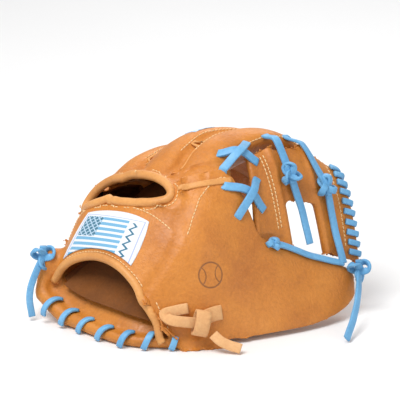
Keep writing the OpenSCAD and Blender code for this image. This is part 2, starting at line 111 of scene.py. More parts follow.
def parts(node):
    """The separate solids of a node, each as (vertices, triangles), the lowest-x one first."""
    v, f = solid(node)
    root = list(range(len(v)))

    def find(i):
        while root[i] != i:
            root[i] = root[root[i]]
            i = root[i]
        return i

    for t in f:
        a = find(t[0])
        for i in t[1:]:
            root[find(i)] = a
    groups = {}
    for i in range(len(v)):
        groups.setdefault(find(i), []).append(i)
    out = []
    for ids in groups.values():
        index = {old: n for n, old in enumerate(ids)}
        out.append((v[ids], [[index[i] for i in t] for t in f if t[0] in index]))
    return sorted(out, key=lambda p: p[0][:, 0].mean())


def rings(v, f, n):
    """Cross-section rings of a swept solid with n corners, from one end to the other."""
    near = [set() for _ in v]
    for t in f:
        for i in t:
            near[i] |= set(t) - {i}
    ends = [i for i in range(len(v)) if len(near[i]) < 6]
    start = min(ends, key=lambda i: (round(v[i][0], 6), v[i][1]))
    seen = {start}
    grow = [start]
    while grow:
        i = grow.pop()
        for j in near[i]:
            if j in ends and j not in seen and len(seen) < n:
                seen.add(j)
                grow.append(j)
    layers, done, layer = [], set(seen), seen
    while layer:
        layers.append([v[i] for i in layer])
        nxt = set(j for i in layer for j in near[i]) - done
        done |= nxt
        layer = nxt
    return layers


def spine(v, f, n):
    """Centre line of a swept solid."""
    return np.array([np.mean(layer, axis=0) for layer in rings(v, f, n)])


def flat_normals(v, f, n=4):
    """At each ring of a lace, the unit vector across its thin side."""
    out = []
    layers = rings(v, f, n)
    for k, layer in enumerate(layers):
        p = np.array(layer)
        c = p - p.mean(0)
        w = np.linalg.svd(c)[2]
        along = np.mean(layers[min(k + 1, len(layers) - 1)], 0) - np.mean(layers[max(k - 1, 0)], 0)
        wide = w[0] - (w[0] @ along) * along / (along @ along)
        out.append(np.cross(along, wide) / np.linalg.norm(np.cross(along, wide)))
    for k in range(1, len(out)):
        if out[k] @ out[k - 1] < 0:
            out[k] = -out[k]
    return out


def resample(points, step, closed=False):
    """Points at even steps along a smooth curve through the given ones."""
    p = np.array(points, float)
    if closed:
        p = np.vstack([p[-2:], p, p[:3]])
    else:
        p = np.vstack([2 * p[0] - p[1], p, 2 * p[-1] - p[-2]])
    fine = []
    for i in range(1, len(p) - 2):
        a, b, c, d = p[i - 1 : i + 3]
        for u in np.linspace(0, 1, 12, endpoint=False):
            fine.append(0.5 * (2 * b + (c - a) * u + (2 * a - 5 * b + 4 * c - d) * u**2 + (3 * b - a - 3 * c + d) * u**3))
    if not closed:
        fine.append(p[-2])
    else:
        fine = fine[12:-12]
        fine.append(fine[0])
    fine = np.array(fine)
    length = np.concatenate([[0], np.cumsum(np.linalg.norm(np.diff(fine, axis=0), axis=1))])
    count = max(2, int(round(length[-1] / step)))
    at = np.linspace(0, length[-1], count + 1)
    out = np.stack([np.interp(at, length, fine[:, k]) for k in range(3)], 1)
    return out[:-1] if closed else out


def follow(values, count):
    """Spreads a short list of vectors over count steps."""
    a = np.array(values, float)
    x = np.linspace(0, len(a) - 1, count)
    out = np.stack([np.interp(x, range(len(a)), a[:, k]) for k in range(a.shape[1])], 1)
    return out / np.linalg.norm(out, axis=1)[:, None]


def follow_size(path, sizes):
    """Spreads a short list of sizes in millimetres over a path."""
    return np.interp(np.linspace(0, 1, len(path)), np.linspace(0, 1, len(sizes)), sizes) * MM


# ---------- meshes ----------
def to_object(name, verts, faces, smooth=True):
    me = bpy.data.meshes.new(name)
    me.from_pydata([tuple(map(float, p)) for p in verts], [], faces)
    me.validate()
    me.update()
    ob = bpy.data.objects.new(name, me)
    bpy.context.scene.collection.objects.link(ob)
    for p in me.polygons:
        p.use_smooth = smooth
    return ob


def bake(ob):
    """Applies the modifiers."""
    dg = bpy.context.evaluated_depsgraph_get()
    me = bpy.data.meshes.new_from_object(ob.evaluated_get(dg))
    ob.modifiers.clear()
    old = ob.data
    ob.data = me
    bpy.data.meshes.remove(old)
    for p in me.polygons:
        p.use_smooth = True
    return ob


def quads(verts, tris, crease_over=45):
    """A bmesh with the triangle pairs joined, and its sharp edges creased."""
    bm = bmesh.new()
    vs = [bm.verts.new(p) for p in verts]
    for t in tris:
        try:
            bm.faces.new([vs[i] for i in t])
        except ValueError:
            pass
    bmesh.ops.join_triangles(bm, faces=bm.faces[:], angle_face_threshold=math.radians(40), angle_shape_threshold=math.radians(100))
    bmesh.ops.recalc_face_normals(bm, faces=bm.faces[:])
    layer = bm.edges.layers.float.get("crease_edge") or bm.edges.layers.float.new("crease_edge")
    for e in bm.edges:
        if len(e.link_faces) == 2 and e.calc_face_angle(0) > math.radians(crease_over):
            e[layer] = 1
    return bm


def soft(name, nodes, level=2, crease_over=45):
    """CAD nodes as one smooth surface."""
    all_v, all_f = [], []
    for n in nodes:
        v, f = solid(n)
        all_f += [[i + len(all_v) for i in t] for t in f]
        all_v += [tuple(p) for p in v]
    bm = quads(all_v, all_f, crease_over)
    me = bpy.data.meshes.new(name)
    bm.to_mesh(me)
    bm.free()
    ob = bpy.data.objects.new(name, me)
    bpy.context.scene.collection.objects.link(ob)
    m = ob.modifiers.new("s", "SUBSURF")
    m.levels = m.render_levels = level
    return bake(ob)


def coords(ob):
    co = np.empty(len(ob.data.vertices) * 3)
    ob.data.vertices.foreach_get("co", co)
    return co.reshape(-1, 3)


def set_coords(ob, co):
    ob.data.vertices.foreach_set("co", np.ascontiguousarray(co, np.float32).ravel())
    ob.data.update()


def normals(ob):
    no = np.empty(len(ob.data.vertices) * 3)
    ob.data.vertices.foreach_get("normal", no)
    return no.reshape(-1, 3)


def inflate(ob, d, steps=1):
    for _ in range(steps):
        set_coords(ob, coords(ob) + normals(ob) * d / steps)


def relax(ob, rounds, share=0.5):
    """Evens out a surface: each vertex moves towards its neighbours' mean."""
    e = np.array([ed.vertices[:] for ed in ob.data.edges])
    co = coords(ob)
    deg = np.bincount(e.ravel(), minlength=len(co))[:, None].clip(1)
    for k in range(rounds * 2):
        total = np.zeros_like(co)
        for axis in range(3):
            total[:, axis] = np.bincount(e[:, 0], co[e[:, 1], axis], len(co)) + np.bincount(e[:, 1], co[e[:, 0], axis], len(co))
        co = co + (share if k % 2 == 0 else -share * 0.94) * (total / deg - co)
    set_coords(ob, co)


def remesh(ob, size):
    m = ob.modifiers.new("r", "REMESH")
    m.mode = "VOXEL"
    m.voxel_size = size
    return bake(ob)


def close_gaps(ob, reach, size, rounds=6):
    """Joins pieces of leather that lie within twice reach of each other into one skin."""
    inflate(ob, reach, 2)
    remesh(ob, size)
    relax(ob, 2)
    inflate(ob, -reach, 4)
    relax(ob, rounds)
    return ob


def sweep(points, ups, profile, taper=None, closed=False):
    """Vertices and faces of a profile carried along points. profile is a list of (across, up)."""
    p = np.array(points)
    m, n = len(p), len(profile)
    verts = []
    for i in range(m):
        a, b = (p[(i - 1) % m], p[(i + 1) % m]) if closed else (p[max(i - 1, 0)], p[min(i + 1, m - 1)])
        d = (b - a) / max(np.linalg.norm(b - a), 1e-9)
        up = ups[i] - (ups[i] @ d) * d
        up = up / max(np.linalg.norm(up), 1e-9)
        side = np.cross(d, up)
        s = 1 if taper is None else taper(i / (m - 1))
        for x, y in profile:
            verts.append(p[i] + side * x * s + up * y * s)
    faces = []
    for i in range(m if closed else m - 1):
        for k in range(n):
            a, b = i * n + k, i * n + (k + 1) % n
            c, d = ((i + 1) % m) * n + (k + 1) % n, ((i + 1) % m) * n + k
            faces.append([a, d, c, b])
    if not closed:
        faces.append(list(range(n)))
        faces.append([(m - 1) * n + k for k in range(n - 1, -1, -1)])
    return verts, faces


def carry(points, closed=False):
    """Directions across a path that turn with it and never twist."""
    p = np.array(points)
    m = len(p)
    up, out = np.array((0.13, 0.21, 1.0)), []
    for i in range(m):
        d = (p[(i + 1) % m] - p[(i - 1) % m]) if closed else (p[min(i + 1, m - 1)] - p[max(i - 1, 0)])
        d = d / max(np.linalg.norm(d), 1e-9)
        up = up - (up @ d) * d
        up = up / np.linalg.norm(up)
        out.append(up)
    return out


def tube(points, radii):
    """A round closed roll whose radius changes along it."""
    verts, faces = sweep(points, carry(points), round_profile(2, 2, 16))
    n = 16
    verts = [points[i // n] + (verts[i] - points[i // n]) * radii[i // n] for i in range(len(verts))]
    return verts, faces


def rims(node, sharp=50):
    """The sharp edges of a sheet-like solid as chains of points between its corners, the longest first."""
    v, f = solid(node)
    bm = bmesh.new()
    vs = [bm.verts.new(p) for p in v]
    for t in f:
        bm.faces.new([vs[i] for i in t])
    bm.normal_update()
    near = {}
    for e in bm.edges:
        if len(e.link_faces) == 2 and e.calc_face_angle(0) > math.radians(sharp):
            a, b = e.verts
            near.setdefault(a, []).append(b)
            near.setdefault(b, []).append(a)
    chains = []
    for c in [k for k, n in near.items() if len(n) > 2]:
        for step in near[c]:
            chain = [c, step]
            while len(near[chain[-1]]) == 2:
                a, b = near[chain[-1]]
                chain.append(b if a is chain[-2] else a)
            chains.append([np.array(q.co) for q in chain])
    bm.free()
    out = []
    for ch in sorted(chains, key=lambda ch: (-len(ch), ch[0][2])):
        if not any(len(ch) == len(o) and np.allclose(ch[0], o[-1]) and np.allclose(ch[1], o[-2]) for o in out):
            out.append(ch)
    return out


def long_sides(node):
    """The middle lines of a flat bar's two long sides, each from its low end up."""
    chains = [np.array(c if c[0][2] < c[-1][2] else c[::-1]) for c in rims(node)[:4]]
    first = chains.pop(0)
    chains.sort(key=lambda c: np.linalg.norm(c - first, axis=1).mean())
    return [(first + chains[0]) / 2, (chains[1] + chains[2]) / 2]


def flat_profile(w, h, bulge=0.12):
    """A lace's section: a rounded strip, a little fuller in the middle."""
    r = min(0.42 * h, 0.9 * MM)
    pts = []
    for cx, cy, a0 in ((1, 1, 0), (-1, 1, 90), (-1, -1, 180), (1, -1, 270)):
        for a in (0, 30, 60, 90):
            t = math.radians(a0 + a)
            pts.append((cx * (w / 2 - r) + r * math.cos(t), cy * (h / 2 - r) + r * math.sin(t)))
        if cx == 1 and cy == 1:
            pts.append((0, h / 2 * (1 + bulge)))
        if cx == -1 and cy == -1:
            pts.append((0, -h / 2 * (1 + bulge)))
    return pts


def round_profile(w, h, n=14):
    return [(w / 2 * math.cos(2 * math.pi * k / n), h / 2 * math.sin(2 * math.pi * k / n)) for k in range(n)]


def merge(name, chunks):
    """One object from several (vertices, faces)."""
    vs, fs = [], []
    for v, f in chunks:
        fs += [[i + len(vs) for i in face] for face in f]
        vs += list(v)
    return to_object(name, vs, fs)


def wobble(points, amount, scale, seed):
    """Small irregularities, so that no lace is ruled."""
    return np.array([p + amount * np.array(noise.noise_vector(Vector(p) * scale + Vector((seed, 0, 0)))) for p in points])


def lace_chunk(points, ups, w=6.6 * MM, h=2.7 * MM, seed=0.0, step=1.6 * MM, taper=None, twist=0.12, dive=0.0):
    """One lace laid along points with its flat side towards ups. Its ends dive that deep into the leather."""
    if dive:
        p, ups = [np.array(q) for q in points], list(ups)
        head, tail = p[0] - p[1], p[-1] - p[-2]
        ahead = [p[0] + head / np.linalg.norm(head) * 1.4 * MM - ups[0] * 1.1 * MM, p[-1] + tail / np.linalg.norm(tail) * 1.4 * MM - ups[-1] * 1.1 * MM]
        deep = [ahead[0] - head / np.linalg.norm(head) * 0.6 * MM - ups[0] * dive, ahead[1] - tail / np.linalg.norm(tail) * 0.6 * MM - ups[-1] * dive]
        points = [deep[0], ahead[0]] + p + [ahead[1], deep[1]]
        turn = [ups[0] + head / np.linalg.norm(head) * 1.6, ups[-1] + tail / np.linalg.norm(tail) * 1.6]
        ups = [turn[0], ups[0]] + ups + [ups[-1], turn[1]]
    pts = resample(points, step)
    ups = follow(ups, len(pts))
    pts = wobble(pts, 0.35 * MM, 60, seed)
    tilted = []
    for i, p in enumerate(pts):
        d = pts[min(i + 1, len(pts) - 1)] - pts[max(i - 1, 0)]
        a = twist * noise.noise(Vector(p) * 45 + Vector((seed, 3, 1)))
        side = np.cross(d / np.linalg.norm(d), ups[i])
        tilted.append(ups[i] + a * side)
    return sweep(pts, tilted, flat_profile(w, h), taper)


def tree(ob):
    return BVHTree.FromPolygons([tuple(c) for c in coords(ob)], [p.vertices[:] for p in ob.data.polygons])


def done(ob, body, slot, material, *stands_for):
    """Gives a finished piece its material and its body, and hides the CAD nodes it stands for. Where body is a joint's
    tuple from fold(), the piece gets no body and only has its transform baked.
    """
    ob.data.materials.clear()
    ob.data.materials.append(material)
    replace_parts(ob, *stands_for) if stands_for else None
    if isinstance(body, tuple):
        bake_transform(ob)
    else:
        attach(ob, body)
    return ob


# ---------- materials ----------
def tree_of(name):
    m = bpy.data.materials.new(name)
    m.use_nodes = True
    return m, m.node_tree, m.node_tree.nodes["Principled BSDF"]


class Nodes:
    """Short ways to add shader nodes."""

    def __init__(self, nt):
        self.nt = nt
        self.at = self.add("ShaderNodeTexCoord").outputs["Object"]

    def add(self, kind, **props):
        n = self.nt.nodes.new(kind)
        for k, v in props.items():
            setattr(n, k, v)
        return n

    def put(self, node, values):
        for k, v in values.items():
            if isinstance(v, bpy.types.NodeSocket):
                self.nt.links.new(v, node.inputs[k])
            else:
                node.inputs[k].default_value = v
        return node

    def noise(self, scale, detail=4.0, rough=0.55, where=None, distortion=0.0):
        n = self.put(self.add("ShaderNodeTexNoise"), {"Vector": where or self.at, "Scale": scale, "Detail": detail, "Roughness": rough, "Distortion": distortion})
        return n.outputs["Fac"]

    def cells(self, scale, feature="F1", where=None, randomness=1.0):
        n = self.add("ShaderNodeTexVoronoi", feature=feature)
        self.put(n, {"Vector": where or self.at, "Scale": scale, "Randomness": randomness})
        return n.outputs["Distance"]

    def ramp(self, fac, stops):
        n = self.add("ShaderNodeValToRGB")
        r = n.color_ramp
        while len(r.elements) < len(stops):
            r.elements.new(0.5)
        for e, (pos, col) in zip(r.elements, stops):
            e.position = pos
            e.color = (*col, 1) if not isinstance(col, (int, float)) else (col, col, col, 1)
        self.nt.links.new(fac, n.inputs["Fac"])
        return n.outputs["Color"]

    def math(self, op, a, b=0.0, clamp=False):
        n = self.add("ShaderNodeMath", operation=op, use_clamp=clamp)
        for i, x in enumerate((a, b)):
            if isinstance(x, bpy.types.NodeSocket):
                self.nt.links.new(x, n.inputs[i])
            else:
                n.inputs[i].default_value = x
        return n.outputs[0]

    def mix(self, fac, a, b, blend="MIX"):
        n = self.add("ShaderNodeMix", data_type="RGBA", blend_type=blend)
        for k, x in ((0, fac), (6, a), (7, b)):
            if isinstance(x, bpy.types.NodeSocket):
                self.nt.links.new(x, n.inputs[k])
            elif k == 0:
                n.inputs[k].default_value = x
            else:
                n.inputs[k].default_value = (*x, 1)
        return n.outputs[2]

    def bump(self, height, strength, distance, below=None):
        n = self.put(self.add("ShaderNodeBump"), {"Height": height, "Strength": strength, "Distance": distance})
        if below is not None:
            self.nt.links.new(below, n.inputs["Normal"])
        return n.outputs["Normal"]


def leather(name, dark, mid, light, rough=0.5, grain=1.0, wrinkle=1.0, coat=0.0, mark=None):
    """Oiled leather: patchy colour, fine pebble grain, soft wrinkles. mark is a round embossed mark (centre, u, v, radius)."""
    m, nt, bsdf = tree_of(name)
    n = Nodes(nt)
    patches = n.noise(16, 5, 0.6)
    colour = n.ramp(patches, [(0.3, dark), (0.5, mid), (0.72, light)])
    fine = n.noise(420, 3, 0.6)
    colour = n.mix(0.14, colour, n.ramp(fine, [(0.3, 0.25), (0.7, 0.95)]), "OVERLAY")
    pores = n.cells(1150)
    pebble = n.cells(520)
    creases = n.noise(55, 6, 0.62, distortion=1.4)
    folds = n.noise(22, 3, 0.5, distortion=0.6)
    normal = n.bump(folds, 0.35 * wrinkle, 4 * MM)
    normal = n.bump(n.ramp(creases, [(0.42, 0.0), (0.5, 1.0), (0.58, 0.2)]), 0.16 * wrinkle, 0.8 * MM, normal)
    normal = n.bump(pebble, 0.22 * grain, 0.35 * MM, normal)
    normal = n.bump(pores, 0.25 * grain, 0.16 * MM, normal)
    if mark:
        centre, u, v, radius = mark
        rel = n.add("ShaderNodeVectorMath", operation="SUBTRACT")
        nt.links.new(n.at, rel.inputs[0])
        rel.inputs[1].default_value = centre

        def along(axis):
            d = n.add("ShaderNodeVectorMath", operation="DOT_PRODUCT")
            nt.links.new(rel.outputs[0], d.inputs[0])
            d.inputs[1].default_value = axis
            return d.outputs["Value"]

        x, y = along(u), along(v)
        far = along(Vector(u).cross(Vector(v)))

        def ring(cx, r, width):
            dx = n.math("SUBTRACT", x, cx)
            dist = n.math("SQRT", n.math("ADD", n.math("MULTIPLY", dx, dx), n.math("MULTIPLY", y, y)))
            off = n.math("ABSOLUTE", n.math("SUBTRACT", dist, r))
            return n.math("SUBTRACT", 1.0, n.math("DIVIDE", off, width), True)

        inside = n.math("LESS_THAN", n.math("SQRT", n.math("ADD", n.math("MULTIPLY", x, x), n.math("MULTIPLY", y, y))), radius)
        arcs = n.math("MULTIPLY", n.math("MAXIMUM", ring(-1.25 * radius, 0.85 * radius, 0.8 * MM), ring(1.25 * radius, 0.85 * radius, 0.8 * MM)), inside)
        shape = n.math("MAXIMUM", ring(0, radius, 1.1 * MM), arcs)
        near = n.math("LESS_THAN", n.math("ABSOLUTE", far), 12 * MM)
        shape = n.math("MULTIPLY", shape, near, True)
        colour = n.mix(n.math("MULTIPLY", shape, 0.75), colour, (0.09, 0.035, 0.02))
        normal = n.bump(n.math("MULTIPLY", shape, -1.0), 0.6, 0.6 * MM, normal)
    nt.links.new(colour, bsdf.inputs["Base Color"])
    nt.links.new(normal, bsdf.inputs["Normal"])
    r = n.ramp(n.noise(60, 4), [(0.3, rough - 0.07), (0.7, rough + 0.08)])
    nt.links.new(r, bsdf.inputs["Roughness"])
    bsdf.inputs["Coat Weight"].default_value = coat
    bsdf.inputs["Coat Roughness"].default_value = 0.35
    bsdf.inputs["Specular IOR Level"].default_value = 0.42
    return m


def cloth(name, a, b, scale=900, sheen=0.3):
    """Woven or felted cloth."""
    m, nt, bsdf = tree_of(name)
    n = Nodes(nt)
    colour = n.ramp(n.noise(scale * 0.2, 4), [(0.3, a), (0.7, b)])
    nt.links.new(colour, bsdf.inputs["Base Color"])
    nt.links.new(n.bump(n.cells(scale), 0.5, 0.3 * MM), bsdf.inputs["Normal"])
    bsdf.inputs["Roughness"].default_value = 0.9
    bsdf.inputs["Sheen Weight"].default_value = sheen
    return m


def patch_material():
    """Embroidered patch: stripes, a latticed corner and a zigzag column, all drawn from the patch's own u and v."""
    m, nt, bsdf = tree_of("embroidered_patch")
    n = Nodes(nt)
    uv = n.add("ShaderNodeUVMap", uv_map="patch")
    sep = n.add("ShaderNodeSeparateXYZ")
    nt.links.new(uv.outputs[0], sep.inputs[0])
    u, v = sep.outputs[0], sep.outputs[1]

    def band(x, lo, hi):
        return n.math("MULTIPLY", n.math("GREATER_THAN", x, lo), n.math("LESS_THAN", x, hi))

    white, blue, teal, violet = (0.78, 0.82, 0.88), (0.16, 0.42, 0.66), (0.035, 0.17, 0.27), (0.30, 0.36, 0.75)
    field = n.math("MULTIPLY", band(u, 0.06, 0.76), band(v, 0.07, 0.93))
    stripe = n.math("LESS_THAN", n.math("FRACT", n.math("MULTIPLY", n.math("SUBTRACT", v, 0.07), 7.5 / 0.86)), 0.56)
    colour = n.mix(n.math("MULTIPLY", stripe, field), white, blue)
    corner = n.math("MULTIPLY", band(u, 0.06, 0.36), band(v, 0.50, 0.93))
    colour = n.mix(corner, colour, teal)
    diagonal = n.math("FRACT", n.math("MULTIPLY", n.math("ADD", n.math("MULTIPLY", u, 1.2), v), 9.0))
    other = n.math("FRACT", n.math("MULTIPLY", n.math("SUBTRACT", n.math("MULTIPLY", u, 1.2), v), 9.0))
    lattice = n.math("MAXIMUM", n.math("LESS_THAN", diagonal, 0.26), n.math("LESS_THAN", other, 0.26))
    colour = n.mix(n.math("MULTIPLY", lattice, corner), colour, (0.45, 0.62, 0.78))
    saw = n.math("ABSOLUTE", n.math("SUBTRACT", n.math("FRACT", n.math("MULTIPLY", v, 6.0)), 0.5))
    zig = n.math("ABSOLUTE", n.math("SUBTRACT", u, n.math("ADD", 0.81, n.math("MULTIPLY", saw, 0.14))))
    colour = n.mix(n.math("MULTIPLY", n.math("LESS_THAN", zig, 0.018), band(v, 0.1, 0.9)), colour, teal)
    edge = n.math("MINIMUM", n.math("MINIMUM", u, n.math("SUBTRACT", 1.0, u)), n.math("MINIMUM", v, n.math("SUBTRACT", 1.0, v)))
    colour = n.mix(n.math("MULTIPLY", band(edge, 0.028, 0.042), 0.75), colour, violet)
    threads = n.add("ShaderNodeTexWave", wave_type="BANDS")
    n.put(threads, {"Vector": uv.outputs[0], "Scale": 42.0, "Distortion": 1.2, "Detail": 2.0})
    colour = n.mix(0.22, colour, n.ramp(threads.outputs["Fac"], [(0.2, 0.3), (0.8, 1.0)]), "MULTIPLY")
    nt.links.new(colour, bsdf.inputs["Base Color"])
    relief = n.math("ADD", n.math("MULTIPLY", threads.outputs["Fac"], 0.35), n.math("MULTIPLY", n.math("MULTIPLY", stripe, field), 0.6))
    nt.links.new(n.bump(relief, 0.5, 0.5 * MM), bsdf.inputs["Normal"])
    bsdf.inputs["Roughness"].default_value = 0.75
    bsdf.inputs["Sheen Weight"].default_value = 0.2
    return m


# ---------- the finishes ----------
ROLLED = leather("rolled_edge_leather", (0.52, 0.22, 0.06), (0.62, 0.28, 0.08), (0.70, 0.34, 0.11), 0.5, 0.7, 0.5, 0.05)
LINER = leather("lining_leather", (0.12, 0.038, 0.006), (0.17, 0.055, 0.009), (0.21, 0.072, 0.013), 0.9, 0.6, 0.8)
SUEDE = leather("suede_strap_leather", (0.55, 0.27, 0.10), (0.66, 0.35, 0.15), (0.74, 0.44, 0.22), 0.78, 1.4, 0.5)
RAW = leather("raw_cut_edge", (0.30, 0.12, 0.04), (0.40, 0.18, 0.07), (0.52, 0.27, 0.12), 0.85, 1.6, 0.3)
LACE = leather("blue_lace_leather", (0.10, 0.30, 0.53), (0.14, 0.375, 0.64), (0.20, 0.46, 0.74), 0.5, 1.2, 0.35, 0.06)
THREAD = cloth("waxed_thread", (0.72, 0.46, 0.2), (0.86, 0.62, 0.34), 2500, 0.1)
FLEECE = cloth("red_lining_cloth", (0.42, 0.01, 0.03), (0.60, 0.02, 0.05), 900)
TAG = cloth("woven_tag", (0.30, 0.50, 0.75), (0.75, 0.82, 0.92), 1200)
PATCH = patch_material()

# the joints between hand, thumb and web, each as its two bodies and a point on either side
def fold(joint, before, after):
    """A joint's parent and child, and a point on either side of it: before mm on the parent's side and after mm on the
    child's.
    """
    j = next(j for j in frame["joints"] if j["name"] == joint)
    at, axis = Vector(j["pos_m"]), Vector(j["axis"]).normalized()
    sideways = axis.cross(Vector((0, 0, 1))).normalized()
    return (j["parent"], j["child"], tuple(at - before * MM * sideways), tuple(at + after * MM * sideways))


FOLD = fold("thumb_close", 14, 14)
WEB_FOLD = fold("web_fold", 4, 16)

# ---------- the leather shell ----------
def join(into, *others):
    bpy.ops.object.select_all(action="DESELECT")
    for o in (into, *others):
        o.select_set(True)
    bpy.context.view_layer.objects.active = into
    bpy.ops.object.join()
    return into


def keep_between(ob, axis, low, high):
    """Cuts a closed mesh down to the slab between low and high on an axis, and closes the cuts."""
    bm = bmesh.new()
    bm.from_mesh(ob.data)
    normal = Vector([1.0 if k == axis else 0.0 for k in range(3)])
    for at, side in ((low, -1), (high, 1)):
        cut = bmesh.ops.bisect_plane(bm, geom=bm.verts[:] + bm.edges[:] + bm.faces[:], plane_co=normal * at, plane_no=normal * side, clear_outer=True)
        bmesh.ops.holes_fill(bm, edges=[e for e in cut["geom_cut"] if isinstance(e, bmesh.types.BMEdge)], sides=0)
    bm.to_mesh(ob.data)
    bm.free()


# the padded edge at the little finger's side of the heel, from the heel roll up to the strap
roll_v, _ = solid("heel_roll")
strap_v, _ = solid("wrist_strap")
palm_v, _ = solid("palm_shell")
roll_end = roll_v[roll_v[:, 0] < roll_v[:, 0].min() + 12 * MM].mean(0)
strap_low = strap_v[strap_v[:, 0] < strap_v[:, 0].min() + 5 * MM].mean(0)
strap_far = strap_v[np.argmax(strap_v[:, 1] - strap_v[:, 0])]
knot_lo, knot_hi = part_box("heel_knot")
knot_mid = (np.array(knot_lo) + np.array(knot_hi)) / 2
# the heel roll follows the CAD roll and turns up to the knot at the little finger's side
thumb_roll_v, _ = solid("thumb_heel_roll")
whole_roll = np.vstack([roll_v, thumb_roll_v])
order = (whole_roll[:, 0] - whole_roll[:, 1]) / math.sqrt(2)
steps = np.linspace(order.min(), order.max(), 30)
roll_path = [whole_roll[(order >= a) & (order <= b)].mean(0) for a, b in zip(steps, steps[1:]) if ((order >= a) & (order <= b)).sum() > 3]
roll_path = np.array(roll_path[3:] + [roll_path[-1] + np.array(o) * MM for o in ((13, 3, 0), (26, 7, 0), (38, 10, 0))])
for _ in range(2):
    roll_path[1:-1] = (roll_path[:-2] + 2 * roll_path[1:-1] + roll_path[2:]) / 4
turn_up = [strap_low * 0.4 + strap_far * 0.6 + np.array((4, 2, -6)) * MM, knot_mid + np.array((8, 5, -2)) * MM,
           roll_end * 0.55 + knot_mid * 0.45 + np.array((7, 2, -3)) * MM, roll_end + np.array((9, -5, -3)) * MM]
heel_path = resample(turn_up + list(roll_path), 3 * MM)
thick = np.interp(heel_path[:, 0] - knot_mid[0], np.array((-7, 8, 28, 53, 115, 160)) * MM, np.array((5.6, 7.0, 7.0, 5.2, 5.0, 3.2)) * MM)
thick[: len(thick) // 12] = np.linspace(2.5 * MM, thick[len(thick) // 12], len(thick) // 12)
heel_path[:, 2] = np.maximum(heel_path[:, 2], thick + 0.2 * MM)
heel = to_object("heel", *tube(heel_path, thick))

# the leather between the open back, the index finger and the thumb
bridge = soft("bridge", ["thumb_shell", "index_stall", "back_binding", "wrist_strap"])
close_gaps(bridge, 16 * MM, 3 * MM, 2)
ring_lo, ring_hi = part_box("back_binding")
keep_between(bridge, 0, ring_hi.x - 36 * MM, ring_hi.x + 36 * MM)

# the leather that runs on from the strap to the little finger's stall
side = soft("side", ["palm_shell", "wrist_strap", "little_stall"])
close_gaps(side, 15 * MM, 3 * MM, 2)
little_lo, little_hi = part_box("little_stall")
strap_lo, strap_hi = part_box("wrist_strap")
keep_between(side, 0, strap_lo.x + 2 * MM, ring_lo.x + 16 * MM)
keep_between(side, 1, (strap_hi.y + little_lo.y) / 2 - 9 * MM, little_lo.y + 40 * MM)
keep_between(side, 2, strap_lo.z + 10 * MM, little_hi.z + 10 * MM)

# the binding's path round the open back, and the leather it is sewn to
ring_ob = soft("ring_source", ["back_binding"], 1)
rc = coords(ring_ob)
mid = rc.mean(0)
e1, e2, e3 = np.linalg.svd(rc - mid, full_matrices=False)[2]
e3 = e3 * np.sign(e3[2])
angle = np.arctan2((rc - mid) @ e2, (rc - mid) @ e1)
bins = np.floor((angle + math.pi) / (2 * math.pi) * 40).astype(int) % 40
ring = np.array([rc[bins == b].mean(0) for b in range(40) if (bins == b).any()])


def evened(rows, rounds):
    """A closed row of points averaged with its neighbours."""
    for _ in range(rounds):
        rows = (np.roll(rows, 1, 0) + 2 * rows + np.roll(rows, -1, 0)) / 4
    return rows


even = evened(ring, 2)
spread = np.linalg.norm(ring - ring.mean(0), axis=1).mean() / np.linalg.norm(even - even.mean(0), axis=1).mean()
back_path = np.array(resample(even.mean(0) + (even - even.mean(0)) * spread * 1.02, 2.2 * MM, True))
bpy.data.objects.remove(ring_ob)

shell = soft("glove_leather", ["palm_shell", "wrist_strap", "thumb_shell"])
join(shell, heel)
close_gaps(shell, 3.6 * MM, 1.5 * MM, 3)
rest = soft("fingers", ["little_stall", "ring_stall", "middle_stall", "index_stall"])
join(shell, rest, bridge, side)
near_tree = tree(shell)
outer = []
for i, p in enumerate(back_path):
    d = back_path[(i + 1) % len(back_path)] - back_path[i - 1]
    away = np.cross(d, e3)
    away = away / np.linalg.norm(away) * (1 if away @ (p - mid) > 0 else -1)
    row_out = []
    for off in (0, 3, 6, 9):
        q = p + away * min(off, 5) * MM
        if off > 5:
            hit, no, _, dist = near_tree.find_nearest(Vector(q))
            if dist < 9 * MM and Vector(hit - Vector(p)).dot(Vector(away)) > 4 * MM:
                q = np.array(hit) - e3 * 1.0 * MM
        row_out.append(q)
    outer.append(row_out)
outer = evened(np.array(outer), 8)
inner = outer - e3 * 2.4 * MM
outer = outer + e3 * 0.2 * MM
n = len(outer)
verts = [q for row in outer for q in row] + [q for row in inner for q in row]
faces = []
for i in range(n):
    a, b = i * 4, ((i + 1) % n) * 4
    for k in range(3):
        faces.append([a + k, b + k, b + k + 1, a + k + 1])
        faces.append([4 * n + a + k, 4 * n + a + k + 1, 4 * n + b + k + 1, 4 * n + b + k])
    faces.append([a + 3, b + 3, 4 * n + b + 3, 4 * n + a + 3])
    faces.append([a, 4 * n + a, 4 * n + b, b])
band = to_object("band", verts, faces)
bm = bmesh.new()
bm.from_mesh(band.data)
bmesh.ops.recalc_face_normals(bm, faces=bm.faces[:])
bm.to_mesh(band.data)
bm.free()
# the leather under the seam between the index finger and the thumb panel
crotch_v, _ = solid("lower_crotch_laces")
crotch = crotch_v[np.argmin(crotch_v[:, 0] - 0.5 * crotch_v[:, 2])] + np.array((8, 0, 4)) * MM
under, under_ups = [], []
for p in resample([back_path[np.argmax(back_path[:, 0])] + np.array((3, 0, 6)) * MM, crotch + np.array((-4, 0, 3)) * MM], 3 * MM):
    q, no, _, _ = near_tree.find_nearest(Vector(p))
    under.append(np.array(q - no * 0.6 * MM))
    under_ups.append(np.array(no))
under, under_ups = np.array(under), np.array(under_ups)
for row in (under, under_ups):
    for _ in range(6):
        row[1:-1] = (row[:-2] + 2 * row[1:-1] + row[2:]) / 4
join(shell, band, merge("under_seam", [sweep(under, list(under_ups), flat_profile(18 * MM, 2.4 * MM))]))
close_gaps(shell, 2.8 * MM, 1.4 * MM, 10)


